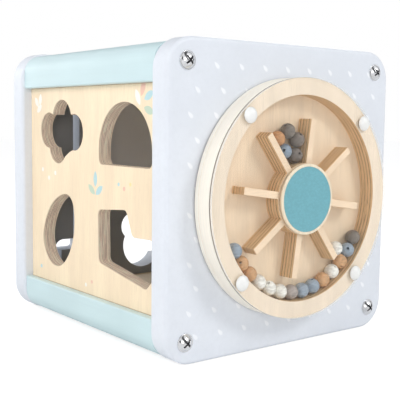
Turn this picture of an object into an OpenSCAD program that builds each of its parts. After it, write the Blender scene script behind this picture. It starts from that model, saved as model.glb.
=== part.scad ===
// Wooden activity cube: a ply box between two thick painted end plates, with shape holes in front,
// a turning drum full of wooden beads on one end plate and a knob that slides on the other.
// X runs from the far plate to the drum plate, -Y is the front with the shape holes, Z is up.
// The origin is on the ground, in the middle of the whole object.

/* [End plates] */
// Height of the two end plates
plate_h = 240; // [232:1:262]
// Width of the end plates from front to back
plate_w = 236; // [230:1:260]
// Thickness of the end plates
plate_t = 20; // [17:0.5:24]
// Radius of the four corners of a plate
plate_corner_r = 24; // [16:1:27]
// Radius that rounds the edges of a plate
plate_edge_r = 3; // [1.5:0.25:4]
// Clear distance between the two plates
box_length = 210; // [204:1:240]

/* [Corner rails] */
// Side of the square rail section
rail_side = 30; // [29:0.5:34]
// Radius of the outer corner of a rail
rail_round_r = 16; // [6:0.5:18]
// Radius of the other three corners of a rail
rail_edge_r = 1.5; // [0.5:0.25:2.5]
// Distance of the rail faces behind the plate edges
rail_setback = 2.5; // [1:0.25:4]

/* [Ply panels] */
// Thickness of the ply panels
panel_t = 12; // [10:0.5:13]
// Distance of the panel faces behind the rail faces
panel_setback = 6.5; // [5:0.5:8]
// Depth to which a panel sits in the groove of a rail
groove_depth = 6; // [4:0.5:6.5]
// Gap left round a panel in its groove
groove_gap = 0.15; // [0.05:0.05:0.3]

/* [Plate screws] */
// Thread diameter of the plate screws
screw_d = 6; // [5:0.5:7]
// Length of the plate screws under the head
screw_length = 45; // [40:1:60]
// Diameter of the domed screw heads
screw_head_d = 12.4; // [11:0.2:13]
// Height of the domed screw heads
screw_head_h = 3.4; // [2.8:0.2:4.2]
// Outer diameter of the washers under the heads
screw_washer_d = 14; // [13.4:0.2:16]
// Thickness of the washers under the heads
screw_washer_t = 0.8; // [0.6:0.1:1.2]
// Outer diameter of the threaded inserts in the rails
insert_d = 9.6; // [9:0.2:10.4]
// Length of the threaded inserts
insert_length = 15; // [10:1:20]

/* [Shape holes] */
// Gap round a block in its hole
block_gap = 0.75; // [0.5:0.05:1.5]
// Thickness of the blocks
block_t = 18; // [14:0.5:18]
// Radius of the side lobes of the cloud, which sets the size of the whole cloud
cloud_lobe_r = 15.6; // [14:0.2:16.4]
// Radius of the round top of the arch
arch_r = 38.5; // [34:0.5:39.5]
// Height of the straight foot of the arch
arch_foot = 11.6; // [9:0.2:14]
// Half length of the oval
oval_a = 35.9; // [34:0.1:37]
// Radius of the wide end of the oval
oval_wide_r = 24.6; // [22:0.2:25]
// Radius of the slim end of the oval
oval_slim_r = 14.2; // [12:0.2:17]
// Radius of the long sides of the oval
oval_side_r = 49.6; // [48:0.2:58]
// Tilt of the oval
oval_tilt = 56; // [45:1:60]
// Radius that rounds the corners of the boot and the arch
hole_corner_r = 5; // [2:0.5:5.5]

/* [Drum] */
// Outer radius of the drum
drum_r = 93.7; // [90:0.5:98]
// Width of the drum ring
ring_w = 13.2; // [12:0.2:14]
// Width of the channel between the ring and the spokes
channel_w = 18; // [16:0.5:22]
// Thickness of the back disc
disc_t = 4; // [3:0.5:5]
// Depth of the ring and the star
ring_depth = 14; // [13:0.5:18]
// Thickness of the clear window
window_t = 2; // [1.5:0.25:3]
// Radius of the hub of the star
hub_r = 27.8; // [26:0.1:30]
// Width of a spoke
spoke_w = 5.8; // [5:0.2:7]
// Number of spokes
spoke_count = 8; // [6:1:8]
// Angle of the first spoke
spoke_turn = 36.8; // [30:0.1:44]
// Radius of the light wooden cap in the middle
cap_r = 27.7; // [25:0.1:28]
// Thickness of the cap in front of the window
cap_t = 1.9; // [1.8:0.1:4]
// Radius of the teal inlay in the cap
inlay_r = 25.4; // [22:0.1:25.8]
// Thickness of the inlay
inlay_t = 1.2; // [0.8:0.1:1.6]

/* [Axle] */
// Diameter of the axle bolt
axle_d = 8; // [6:0.5:10]
// Play between parts that run on each other
running_gap = 0.2; // [0.1:0.05:0.3]
// Radial play of the bolt in the bush
bush_play = 0.05; // [0.02:0.01:0.1]
// Thickness of the spacer between the plate and the drum
spacer_t = 1; // [0.8:0.1:3]
// Thickness of the washers of the axle
axle_washer_t = 1.4; // [1:0.1:1.8]
// Height of the head of the axle bolt
axle_head_h = 4.4; // [3.5:0.1:4.6]
// Height of the axle nut
axle_nut_h = 6.5; // [5:0.5:8]

/* [Window screws] */
// Thread diameter of the window screws
small_screw_d = 3; // [2.5:0.25:3.5]
// Length of the window screws under the head
small_screw_length = 18; // [14:0.5:18.5]
// Diameter of the white caps over the window screws
screw_cap_d = 12; // [11:0.5:13]
// Height of the white caps
screw_cap_h = 3.6; // [3.2:0.1:4.5]
// Angle of the first window screw
small_screw_turn = 42.5; // [35:0.5:50]

/* [Beads] */
// Diameter of the beads
bead_d = 12; // [10:0.25:12.4]
// Diameter of the hole through a bead
bead_bore_d = 2; // [1.5:0.25:3]
// Gap between a bead and what is next to it
bead_gap = 0.3; // [0.1:0.05:0.5]

/* [Slider] */
// Width of the upright slot in the far plate
slot_w = 7; // [6.5:0.5:10]
// Height of the upper end of the slot
slot_top = 200; // [180:1:205]
// Place of the slot from front to back
slot_y = -62; // [-64:0.5:-56]
// Height at which the knob stands
knob_rest = 128; // [110:1:150]
// Diameter of the sliding knob
knob_d = 30; // [24:1:36]
// Length of the sliding knob outside the plate
knob_length = 18; // [14:1:24]
// Play between the slider and the plate
slider_gap = 0.3; // [0.2:0.05:0.5]
// Diameter of the disc that holds the knob from inside
slider_disc_d = 26; // [24:1:30]
// Thickness of the disc that holds the knob from inside
slider_disc_t = 4; // [3:0.5:6]

/* [Hidden] */

lilac = [0.86, 0.88, 0.93];
aqua = [0.74, 0.86, 0.88];
ply = [0.96, 0.87, 0.72];
pale_wood = [0.97, 0.91, 0.80];
teal = [0.36, 0.62, 0.68];
chrome = [0.80, 0.80, 0.82];
brass = [0.80, 0.66, 0.35];
clear = [0.90, 0.95, 0.97, 0.25];
white = [0.96, 0.95, 0.92];
bead_blue = [0.45, 0.58, 0.66];
bead_clay = [0.76, 0.58, 0.44];
bead_grey = [0.62, 0.61, 0.61];
bead_charcoal = [0.38, 0.38, 0.40];

// Roundness of small, medium and large round shapes
fine = 48;
round_fn = 96;
large_fn = 180;
// How far a cutting shape runs past the face that it cuts
past = 1;
// Gap round a part that is glued or pressed into another
fit_gap = 0.05;
// Gap round a screw in a hole that it passes through
pass_gap = 0.3;
// How much deeper the bore of a rail is than its screw
bore_spare = 3;

// Places along X, measured from the middle of the box
inner_x = box_length / 2;
outer_x = inner_x + plate_t;
// Middle of the plates above the ground
middle_z = plate_h / 2;

// Places across the box, measured from its middle line
rail_y = plate_w / 2 - rail_setback - rail_side;
rail_z = plate_h / 2 - rail_setback - rail_side;
panel_u = rail_side - panel_setback - panel_t;
panel_length = box_length;
panel_reach = groove_depth - groove_gap;
screw_y = rail_y + rail_side / 2;
screw_z = rail_z + rail_side / 2;
floor_z = middle_z - rail_z - panel_u;

// Ring and star, outwards from the axle
ring_inner_r = drum_r - ring_w;
spoke_tip_r = ring_inner_r - channel_w;

// Places along the axle, measured from the outer face of the drum plate
disc_x = spacer_t + running_gap;
ring_x = disc_x + disc_t;
window_x = ring_x + ring_depth;
front_x = window_x + window_t;
cap_front_x = front_x + cap_t;

// Widths of the parts round the axle bolt, each measured out from what it goes round
bush_wall = 2.4;
bush_flange_w = 3.5;
head_washer_w = 6.5;
recess_gap = 2.5;
axle_head_w = 3.6;
spacer_w = 11;
nut_washer_w = 4.5;
nut_w = 2.5;

// Bush and bolt of the axle
bush_flange_t = 1;
bush_length = 10;
thread_past = 2;
bush_bore_r = axle_d / 2 + bush_play;
bush_outer_r = bush_bore_r + bush_wall;
bush_flange_r = bush_outer_r + bush_flange_w;
bush_end_x = disc_x + bush_length;
head_washer_x = bush_end_x + bush_flange_t + running_gap;
head_washer_r = axle_d / 2 + head_washer_w;
recess_r = head_washer_r + recess_gap;
axle_head_x = head_washer_x + axle_washer_t;
axle_head_r = axle_d / 2 + axle_head_w;
spacer_r = axle_d / 2 + spacer_w;
nut_washer_r = axle_d / 2 + nut_washer_w;
nut_flats = axle_d + 2 * nut_w;

// Cap in the middle of the drum: its lip lies on the window, its spigot goes through it
cap_lip = 7.5;
cap_spigot_r = cap_r - cap_lip;
cap_rim_r = 0.9;

// Window screws and the hollow in the caps over their heads
small_screw_count = 4;
small_screw_r = (drum_r + ring_inner_r) / 2;
small_head_r = 3;
small_head_h = 1.6;
cap_hollow_gap = 0.15;
cap_hollow_r = small_head_r + cap_hollow_gap;
cap_hollow_h = small_head_h + cap_hollow_gap;

// Cross slots in the screw heads
slot_across = 1.5;
slot_share = 0.62;
slot_deep = 2;

// Run of beads in the channel, from its left end to its right end
run_names = ["blue", "clay", "clay", "white", "white", "white", "grey", "blue", "blue", "clay",
    "white", "clay", "blue", "charcoal"];
bead_r = bead_d / 2;
bead_pitch = bead_d + bead_gap / 2;
run_r = ring_inner_r - bead_r - bead_gap;
run_step = 2 * asin(bead_pitch / 2 / run_r);
quarter = 90;
straight_down = -quarter;
run_first = straight_down - (len(run_names) - 1) / 2 * run_step;
bead_x = ring_x + ring_depth / 2;
// How much further the drilled hole of each bead in the run is turned than that of the one before
bead_tip = 37;
bead_roll = 53;

// Holes in the front panel: middle of each in x and z
cloud_at = [-47.7, middle_z + 48.6];
arch_at = [55, middle_z + 48.5];
oval_at = [-51.9, middle_z - 37.7];
boot_at = [54, middle_z - 40];
boot_corners = [[-38, -17.5], [32, -29], [42, -20], [42, 10], [13, 9], [4, 29.5], [-39, 26]];

// Cloud, in side lobe radii: middle and radius of the left, upper, right and lower lobe,
// and the shallow edge between the lower and the right lobe
cloud_lobes = [[-1.46, 0.08, 1], [0.08, 0.7, 1.09], [1.46, 0, 1], [-0.38, -0.77, 1.01]];
cloud_shallow = [[0.4, -1.385], [0.94, -1.1], [1.34, -0.97]];
lobe_middles = [for (lobe = cloud_lobes) [lobe[0], lobe[1]] * cloud_lobe_r];
lobe_radii = [for (lobe = cloud_lobes) lobe[2] * cloud_lobe_r];

// Oval: places of its two end arcs along its length, and middle of its long side arcs
oval_wide_at = oval_wide_r - oval_a;
oval_slim_at = oval_a - oval_slim_r;
wide_reach = oval_side_r - oval_wide_r;
slim_reach = oval_side_r - oval_slim_r;
oval_ends_apart = oval_slim_at - oval_wide_at;
side_at = (oval_wide_at + oval_slim_at) / 2
    + (wide_reach * wide_reach - slim_reach * slim_reach) / (2 * oval_ends_apart);
side_off = sqrt(wide_reach * wide_reach - pow(side_at - oval_wide_at, 2));
oval_b = oval_side_r - side_off;
end_steps = 14;
side_steps = 18;

// Openings in the far plate in y and z: the bent foot of the slot, and the take-out opening
foot_top = middle_z - 56;
foot_floor = middle_z - 66.3;
foot_front = slot_y - 23.5;
foot_bend_r = 9;
leg_floor = middle_z - 82;
opening_lobes = [[3.5, 71.5, 13.8], [15.5, 51.8, 23.6], [40, 65, 25.5], [62, 56, 17]];

// Slider
stem_r = slot_w / 2 - slider_gap;
knob_edge_r = 3;
slider_screw_d = 4;
slider_screw_length = 24;
slider_head_r = 4;
slider_head_h = 2.4;

// Blocks rest this far from the drum plate
lane_rest_gap = 0.7;

// Whole object along X: the origin is put in its middle
front_reach = max(cap_front_x, front_x + screw_cap_h);
shift_x = (front_reach - slider_gap - knob_length) / 2;

// A child drawn along +Z is turned to run along +X
module along_x() {
    rotate([0, 90, 0]) children();
}

// A child drawn in the plane of a plate, as y and z, and extruded away from the box
module on_plate(x) {
    translate([x, 0, 0]) rotate([90, 0, 90]) children();
}

// A child drawn round the axle, starting at distance x in front of the drum plate
module on_drum(x) {
    translate([outer_x + x, 0, middle_z]) rotate([90, 0, 90]) children();
}

// Everything is moved so that the origin is in the middle of the whole object
module placed() {
    translate([-shift_x, 0, 0]) children();
}

module rounded_rect(w, h, r) {
    square([w - 2 * r, h], center = true);
    square([w, h - 2 * r], center = true);
    for (sx = [-1, 1], sy = [-1, 1])
        translate([sx * (w / 2 - r), sy * (h / 2 - r)]) circle(r = r, $fn = round_fn);
}

// A slab with round corners whose edges are rounded all the way round both faces
module rounded_slab(w, h, t, r, e) {
    translate([0, 0, e]) linear_extrude(t - 2 * e) rounded_rect(w, h, r);
    linear_extrude(t) rounded_rect(w - 2 * e, h - 2 * e, r - e);
    for (z = [e, t - e]) translate([0, 0, z]) {
        for (side = [-1, 1]) {
            translate([-w / 2 + r, side * (h / 2 - e), 0])
                rotate([0, 90, 0]) cylinder(r = e, h = w - 2 * r, $fn = fine);
            translate([side * (w / 2 - e), h / 2 - r, 0])
                rotate([90, 0, 0]) cylinder(r = e, h = h - 2 * r, $fn = fine);
        }
        for (corner = [0:3]) {
            sx = corner == 0 || corner == 3 ? 1 : -1;
            sy = corner < 2 ? 1 : -1;
            translate([sx * (w / 2 - r), sy * (h / 2 - r), 0]) rotate([0, 0, 90 * corner])
                rotate_extrude(angle = 90, $fn = round_fn) translate([r - e, 0]) circle(r = e, $fn = fine);
        }
    }
}

// The four places of the plate screws in y and z
module at_plate_screws(x) {
    for (sy = [-1, 1], sz = [-1, 1]) translate([x, sy * screw_y, middle_z + sz * screw_z]) children();
}

module plate_body() {
    translate([0, middle_z, 0]) rounded_slab(plate_w, plate_h, plate_t, plate_corner_r, plate_edge_r);
}

module wheel_plate() {
    color(lilac) placed() difference() {
        on_plate(inner_x) plate_body();
        at_plate_screws(inner_x - past)
            along_x() cylinder(r = screw_d / 2 + pass_gap, h = plate_t + 2 * past, $fn = fine);
        translate([inner_x - past, 0, middle_z])
            along_x() cylinder(r = axle_d / 2 + fit_gap, h = plate_t + 2 * past, $fn = fine);
    }
}

// Lobed opening through which the blocks are taken out
module take_out_opening() {
    for (lobe = opening_lobes) translate([lobe[0], lobe[1]]) circle(r = lobe[2], $fn = round_fn);
}

// Upright slot in which the knob slides. At its foot it turns to the front and then down.
module slider_slot() {
    half = slot_w / 2;
    bend = [foot_front + foot_bend_r, foot_top - foot_bend_r];
    translate([slot_y - half, foot_floor + half]) square([slot_w, slot_top - foot_floor - slot_w]);
    for (z = [slot_top - half, foot_floor + half]) translate([slot_y, z]) circle(r = half, $fn = fine);
    translate([bend[0], foot_floor]) square([slot_y - bend[0], foot_top - foot_floor]);
    translate([foot_front, foot_floor]) square([foot_bend_r, bend[1] - foot_floor]);
    intersection() {
        translate(bend) circle(r = foot_bend_r, $fn = fine);
        translate([foot_front, bend[1]]) square(foot_bend_r);
    }
    translate([foot_front, leg_floor + half]) square([slot_w, bend[1] - leg_floor - half]);
    translate([foot_front + half, leg_floor + half]) circle(r = half, $fn = fine);
}

module far_plate() {
    color(lilac) placed() difference() {
        on_plate(-outer_x) plate_body();
        at_plate_screws(-outer_x - past)
            along_x() cylinder(r = screw_d / 2 + pass_gap, h = plate_t + 2 * past, $fn = fine);
        on_plate(-outer_x - past) linear_extrude(plate_t + 2 * past) take_out_opening();
        on_plate(-outer_x - past) linear_extrude(plate_t + 2 * past) slider_slot();
    }
}

// Section of a rail with its outer corner at the top right
module rail_section() {
    difference() {
        union() {
            square([rail_side, rail_side - rail_round_r]);
            square([rail_side - rail_round_r, rail_side]);
            intersection() {
                square(rail_side);
                translate([rail_side - rail_round_r, rail_side - rail_round_r])
                    circle(r = rail_round_r, $fn = round_fn);
            }
        }
        rail_edge_cut(0, 0, 1, 1);
        rail_edge_cut(rail_side, 0, -1, 1);
        rail_edge_cut(0, rail_side, 1, -1);
        translate([panel_u - groove_gap, -past]) square([panel_t + 2 * groove_gap, groove_depth + past]);
        translate([-past, panel_u - groove_gap]) square([groove_depth + past, panel_t + 2 * groove_gap]);
    }
}

// What rounding takes away from one corner of the rail section
module rail_edge_cut(u, v, su, sv) {
    r = rail_edge_r;
    difference() {
        translate([u + su * (r / 2 - past / 2), v + sv * (r / 2 - past / 2)])
            square(r + past, center = true);
        translate([u + su * r, v + sv * r]) circle(r = r, $fn = fine);
    }
}

// One rail, for the side sy = -1 (front) or 1 (back) and sz = -1 (base) or 1 (top)
module rail(sy, sz) {
    bore_depth = screw_length - plate_t + bore_spare;
    color(aqua) placed() translate([0, 0, middle_z]) mirror([0, sy < 0 ? 1 : 0, 0])
        mirror([0, 0, sz < 0 ? 1 : 0]) difference() {
            on_plate(-inner_x) translate([rail_y, rail_z, 0]) linear_extrude(box_length) rail_section();
            for (end = [-1, 1]) translate([end * inner_x, screw_y, screw_z]) {
                translate([end > 0 ? -insert_length : -past, 0, 0])
                    along_x() cylinder(d = insert_d + 2 * fit_gap, h = insert_length + past, $fn = fine);
                translate([end > 0 ? -bore_depth : 0, 0, 0])
                    along_x() cylinder(r = screw_d / 2 + pass_gap, h = bore_depth, $fn = fine);
            }
        }
}

module rail_inserts() {
    color(brass) placed() for (end = [-1, 1])
        at_plate_screws(end > 0 ? inner_x - insert_length : -inner_x) along_x() difference() {
            cylinder(d = insert_d, h = insert_length, $fn = fine);
            translate([0, 0, -past])
                cylinder(r = screw_d / 2 + fit_gap, h = insert_length + 2 * past, $fn = fine);
        }
}

// Domed head with a cross slot on a plain shank, its seat at z = 0 and its shank down -Z
module cross_screw(head_d, head_h, shank_d, length) {
    dome_r = (pow(head_d / 2, 2) + head_h * head_h) / (2 * head_h);
    slot_length = head_d * slot_share;
    difference() {
        union() {
            rotate_extrude($fn = fine) intersection() {
                translate([0, head_h - dome_r]) circle(r = dome_r, $fn = round_fn);
                square([head_d / 2, head_h]);
            }
            translate([0, 0, -length]) cylinder(d = shank_d, h = length + head_h / 4, $fn = fine);
        }
        for (turn = [45, 135]) rotate([0, 0, turn])
            translate([-slot_length / 2, -slot_across / 2, head_h - slot_deep])
                cube([slot_length, slot_across, slot_deep + past]);
    }
}

module plate_screws() {
    seat_x = outer_x + screw_washer_t;
    color(chrome) placed() {
        at_plate_screws(seat_x) along_x() cross_screw(screw_head_d, screw_head_h, screw_d, screw_length);
        mirror([1, 0, 0]) at_plate_screws(seat_x)
            along_x() cross_screw(screw_head_d, screw_head_h, screw_d, screw_length);
    }
}

module screw_washers() {
    color(chrome) placed() for (end = [-1, 1])
        at_plate_screws(end > 0 ? outer_x : -outer_x - screw_washer_t) along_x() difference() {
            cylinder(d = screw_washer_d, h = screw_washer_t, $fn = fine);
            translate([0, 0, -past])
                cylinder(r = screw_d / 2 + fit_gap, h = screw_washer_t + 2 * past, $fn = fine);
        }
}

// Outline of the cloud; inset makes it smaller all round
module cloud_shape(inset = 0) {
    shallow = [for (p = cloud_shallow) p * (cloud_lobe_r - inset / norm(p))];
    for (i = [0:3]) translate(lobe_middles[i]) circle(r = lobe_radii[i] - inset, $fn = round_fn);
    polygon([lobe_middles[0], lobe_middles[3], each shallow, lobe_middles[2], lobe_middles[1]]);
}

module arch_shape(inset = 0) {
    half = arch_r - inset;
    r = hole_corner_r;
    low = -arch_foot / 2 - arch_r / 2 + inset;
    top = arch_foot / 2 - arch_r / 2;
    intersection() {
        translate([0, top]) circle(r = half, $fn = large_fn);
        translate([-half, top]) square([2 * half, half]);
    }
    translate([-half, low + r]) square([2 * half, top - low - r]);
    translate([-half + r, low]) square([2 * (half - r), r]);
    for (side = [-1, 1]) translate([side * (half - r), low + r]) circle(r = r, $fn = fine);
}

// Egg-shaped oval of four arcs: a wide end, a slim end, and two long sides that meet both smoothly
function open_arc(middle, r, from, to, steps) =
    [for (k = [0:steps - 1]) let (a = from + (to - from) * k / steps) middle + r * [cos(a), sin(a)]];
module oval_shape(inset = 0) {
    slim_a = atan2(side_off, oval_slim_at - side_at);
    wide_a = atan2(side_off, oval_wide_at - side_at);
    long_r = oval_side_r - inset;
    rotate([0, 0, oval_tilt]) polygon([
        each open_arc([oval_slim_at, 0], oval_slim_r - inset, -slim_a, slim_a, end_steps),
        each open_arc([side_at, -side_off], long_r, slim_a, wide_a, side_steps),
        each open_arc([oval_wide_at, 0], oval_wide_r - inset, wide_a, 360 - wide_a, 2 * end_steps),
        each open_arc([side_at, side_off], long_r, 360 - wide_a, 360 - slim_a, side_steps)]);
}

// Boot: its corners moved in by inset, then rounded
function unit(v) = v / norm(v);
function left_of(v) = [-v[1], v[0]];
function moved_corner(c, i, inset) =
    let (n = len(c),
        back = unit(c[i] - c[(i + n - 1) % n]),
        ahead = unit(c[(i + 1) % n] - c[i]))
    c[i] + (left_of(back) + left_of(ahead)) * inset / (1 + back * ahead);
function corner_arc(c, i, r, steps) =
    let (n = len(c),
        back = unit(c[(i + n - 1) % n] - c[i]),
        ahead = unit(c[(i + 1) % n] - c[i]),
        half = acos(back * ahead) / 2,
        middle = c[i] + unit(back + ahead) * r / sin(half),
        from = c[i] + back * r / tan(half) - middle,
        to = c[i] + ahead * r / tan(half) - middle,
        turn = atan2(from[0] * to[1] - from[1] * to[0], from * to))
    [for (k = [0:steps]) let (a = turn * k / steps)
        middle + [from[0] * cos(a) - from[1] * sin(a), from[0] * sin(a) + from[1] * cos(a)]];
module boot_shape(inset = 0) {
    corners = [for (i = [0:len(boot_corners) - 1]) moved_corner(boot_corners, i, inset)];
    polygon([for (i = [0:len(corners) - 1]) each corner_arc(corners, i, hole_corner_r, 6)]);
}

// The ply panels: front and back stand upright, top and base lie flat
module upright_panel(side) {
    near = rail_y + panel_u;
    height = 2 * (rail_z + panel_reach);
    translate([-panel_length / 2, side > 0 ? near : -near - panel_t, middle_z - height / 2])
        cube([panel_length, panel_t, height]);
}

module flat_panel(side) {
    near = rail_z + panel_u;
    depth = 2 * (rail_y + panel_reach);
    translate([-panel_length / 2, -depth / 2, middle_z + (side > 0 ? near : -near - panel_t)])
        cube([panel_length, depth, panel_t]);
}

// A hole shape drawn in x and z, cut right through the front panel
module through_front(at) {
    translate([at[0], -rail_y - panel_u + past, at[1]]) rotate([90, 0, 0])
        linear_extrude(panel_t + 2 * past) children();
}

module sorter_panel() {
    color(ply) placed() difference() {
        upright_panel(-1);
        through_front(cloud_at) cloud_shape();
        through_front(arch_at) arch_shape();
        through_front(oval_at) oval_shape();
        through_front(boot_at) boot_shape();
    }
}

module back_panel() {
    color(ply) placed() upright_panel(1);
}

module top_panel() {
    color(ply) placed() flat_panel(1);
}

module base_panel() {
    color(ply) placed() flat_panel(-1);
}

// Axle: bolt from the front, through bush, spacer and plate, into a nut inside the box
module axle_bolt() {
    shank = axle_head_x + plate_t + axle_washer_t + axle_nut_h + thread_past;
    color(chrome) placed() on_drum(axle_head_x)
        cross_screw(2 * axle_head_r, axle_head_h, axle_d, shank);
}

module ring_plate(r, t, bore_r) {
    difference() {
        cylinder(r = r, h = t, $fn = round_fn);
        translate([0, 0, -past]) cylinder(r = bore_r, h = t + 2 * past, $fn = round_fn);
    }
}

module axle_head_washer() {
    color(chrome) placed() on_drum(head_washer_x)
        ring_plate(head_washer_r, axle_washer_t, axle_d / 2 + fit_gap);
}

module axle_spacer() {
    color(chrome) placed() on_drum(0) ring_plate(spacer_r, spacer_t, axle_d / 2 + fit_gap);
}

module axle_nut_washer() {
    color(chrome) placed() on_drum(-plate_t - axle_washer_t)
        ring_plate(nut_washer_r, axle_washer_t, axle_d / 2 + fit_gap);
}

module axle_nut() {
    color(chrome) placed() on_drum(-plate_t - axle_washer_t - axle_nut_h) difference() {
        cylinder(r = nut_flats / sqrt(3), h = axle_nut_h, $fn = 6);
        translate([0, 0, -past])
            cylinder(r = axle_d / 2 + fit_gap, h = axle_nut_h + 2 * past, $fn = fine);
    }
}

// The four places of the window screws round the drum
module at_window_screws() {
    for (k = [0:small_screw_count - 1]) rotate([0, 0, small_screw_turn + 360 * k / small_screw_count])
        translate([small_screw_r, 0, 0]) children();
}

module window_screw_holes(depth) {
    at_window_screws() translate([0, 0, -past])
        cylinder(r = small_screw_d / 2 + fit_gap, h = depth + 2 * past, $fn = fine);
}

module drum_disc() {
    screw_reach = small_screw_length - window_t - ring_depth + fit_gap;
    color(ply) placed() on_drum(disc_x) difference() {
        cylinder(r = drum_r, h = disc_t, $fn = large_fn);
        translate([0, 0, -past]) cylinder(r = bush_outer_r + fit_gap, h = disc_t + 2 * past, $fn = fine);
        at_window_screws() translate([0, 0, disc_t - screw_reach])
            cylinder(r = small_screw_d / 2 + fit_gap, h = screw_reach + past, $fn = fine);
    }
}

module drum_ring() {
    color(ply) placed() on_drum(ring_x) difference() {
        cylinder(r = drum_r, h = ring_depth, $fn = large_fn);
        translate([0, 0, -past]) cylinder(r = ring_inner_r, h = ring_depth + 2 * past, $fn = large_fn);
        window_screw_holes(ring_depth);
    }
}

module drum_star() {
    recess_floor = bush_end_x - ring_x;
    color(ply) placed() on_drum(ring_x) difference() {
        linear_extrude(ring_depth) {
            circle(r = hub_r, $fn = large_fn);
            for (k = [0:spoke_count - 1]) rotate([0, 0, spoke_turn + 360 * k / spoke_count])
                translate([0, -spoke_w / 2]) square([spoke_tip_r, spoke_w]);
        }
        translate([0, 0, -past])
            cylinder(r = bush_outer_r + fit_gap, h = ring_depth + 2 * past, $fn = fine);
        translate([0, 0, recess_floor]) cylinder(r = recess_r, h = ring_depth, $fn = fine);
    }
}

module drum_bush() {
    color(brass) placed() on_drum(disc_x) difference() {
        union() {
            cylinder(r = bush_outer_r, h = bush_length + bush_flange_t, $fn = fine);
            translate([0, 0, bush_length]) cylinder(r = bush_flange_r, h = bush_flange_t, $fn = fine);
        }
        translate([0, 0, -past])
            cylinder(r = bush_bore_r, h = bush_length + bush_flange_t + 2 * past, $fn = fine);
    }
}

module drum_window() {
    color(clear) placed() on_drum(window_x) difference() {
        cylinder(r = drum_r, h = window_t, $fn = large_fn);
        translate([0, 0, -past]) cylinder(r = cap_spigot_r + fit_gap, h = window_t + 2 * past, $fn = round_fn);
        window_screw_holes(window_t);
    }
}

// Cap with a spigot through the window, a rounded rim and a recess for the inlay
module hub_cap() {
    color(pale_wood) placed() on_drum(window_x) difference() {
        rotate_extrude($fn = large_fn) {
            square([cap_spigot_r, window_t + cap_t]);
            translate([0, window_t]) square([cap_r, cap_t - cap_rim_r]);
            translate([0, window_t]) square([cap_r - cap_rim_r, cap_t]);
            translate([cap_r - cap_rim_r, window_t + cap_t - cap_rim_r])
                circle(r = cap_rim_r, $fn = fine);
        }
        translate([0, 0, window_t + cap_t - inlay_t])
            cylinder(r = inlay_r + fit_gap, h = inlay_t + past, $fn = large_fn);
    }
}

module hub_inlay() {
    color(teal) placed() on_drum(cap_front_x - inlay_t) cylinder(r = inlay_r, h = inlay_t, $fn = large_fn);
}

module window_screws() {
    color(chrome) placed() on_drum(front_x) at_window_screws()
        cross_screw(2 * small_head_r, small_head_h, small_screw_d, small_screw_length);
}

module screw_caps() {
    r = screw_cap_d / 2;
    dome_r = (r * r + screw_cap_h * screw_cap_h) / (2 * screw_cap_h);
    color(white) placed() on_drum(front_x) at_window_screws() rotate_extrude($fn = fine) difference() {
        intersection() {
            translate([0, screw_cap_h - dome_r]) circle(r = dome_r, $fn = round_fn);
            square([r, screw_cap_h]);
        }
        translate([-past, -past]) square([cap_hollow_r + past, cap_hollow_h + past]);
    }
}

// A bead with its drilled hole turned to a direction of its own
module bead(at, turn) {
    translate(at) rotate(turn) difference() {
        sphere(r = bead_r, $fn = fine);
        cylinder(d = bead_bore_d, h = bead_d + past, center = true, $fn = fine);
    }
}

// Beads that lie in the compartment between two spokes, as they come to rest on each other:
// a row up the right spoke, a row up the left spoke, and one on top of both rows
upper_depth = ring_depth / 2;
right_spoke = spoke_turn + 360 / spoke_count;
left_spoke = right_spoke + 360 / spoke_count;
bead_apart = bead_d + bead_gap / 2;
beside = spoke_w / 2 + bead_r + bead_gap;
function ray(a) = [cos(a), sin(a)];
function on_right(s) = s * ray(right_spoke) + beside * ray(right_spoke + quarter);
function on_left(s) = s * ray(left_spoke) + beside * ray(left_spoke - quarter);
low_right_s = sqrt(pow(hub_r + bead_r + bead_gap, 2) - beside * beside);
low_right = on_right(low_right_s);
high_right = on_right(low_right_s + bead_apart);
left_miss = low_right * ray(left_spoke - quarter) - beside;
low_left_s = low_right * ray(left_spoke) + sqrt(max(0, bead_apart * bead_apart - left_miss * left_miss));
low_left = on_left(low_left_s);
high_left = on_left(low_left_s + bead_apart);
across = high_right - high_left;
top_rise = sqrt(max(0, bead_apart * bead_apart - across * across / 4));
top_bead = (high_right + high_left) / 2 + unit(left_of(across)) * top_rise;
function upper_place(p) = [p[0], p[1], upper_depth];

module upper_bead(p, turn) {
    placed() on_drum(ring_x) bead(upper_place(p), turn);
}

module upper_beads_grey() {
    color(bead_grey) {
        upper_bead(low_right, [20, 60, 0]);
        upper_bead(high_right, [75, 20, 0]);
    }
}

module upper_beads_charcoal() {
    color(bead_charcoal) upper_bead(top_bead, [50, 40, 0]);
}

module upper_beads_blue() {
    color(bead_blue) upper_bead(low_left, [80, 70, 0]);
}

module upper_beads_clay() {
    color(bead_clay) upper_bead(high_left, [15, 35, 0]);
}

// One bead has stayed on the lower right spoke, just inside the reach of the run
module lower_bead_white() {
    held_spoke = spoke_turn + 360 * (spoke_count - 2) / spoke_count;
    held_r = run_r - bead_r - bead_gap - bead_r;
    held_s = sqrt(held_r * held_r - beside * beside);
    color(white) upper_bead(held_s * ray(held_spoke) + beside * ray(held_spoke + quarter), [30, 75, 0]);
}

// All beads of one colour in the run
module run_beads(name) {
    placed() on_drum(bead_x) for (k = [0:len(run_names) - 1]) if (run_names[k] == name)
        bead(run_r * ray(run_first + k * run_step), [k * bead_tip % quarter, k * bead_roll % quarter, 0]);
}

module run_beads_blue() {
    color(bead_blue) run_beads("blue");
}

module run_beads_clay() {
    color(bead_clay) run_beads("clay");
}

module run_beads_white() {
    color(white) run_beads("white");
}

module run_beads_grey() {
    color(bead_grey) run_beads("grey");
}

module run_beads_charcoal() {
    color(bead_charcoal) run_beads("charcoal");
}

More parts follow.
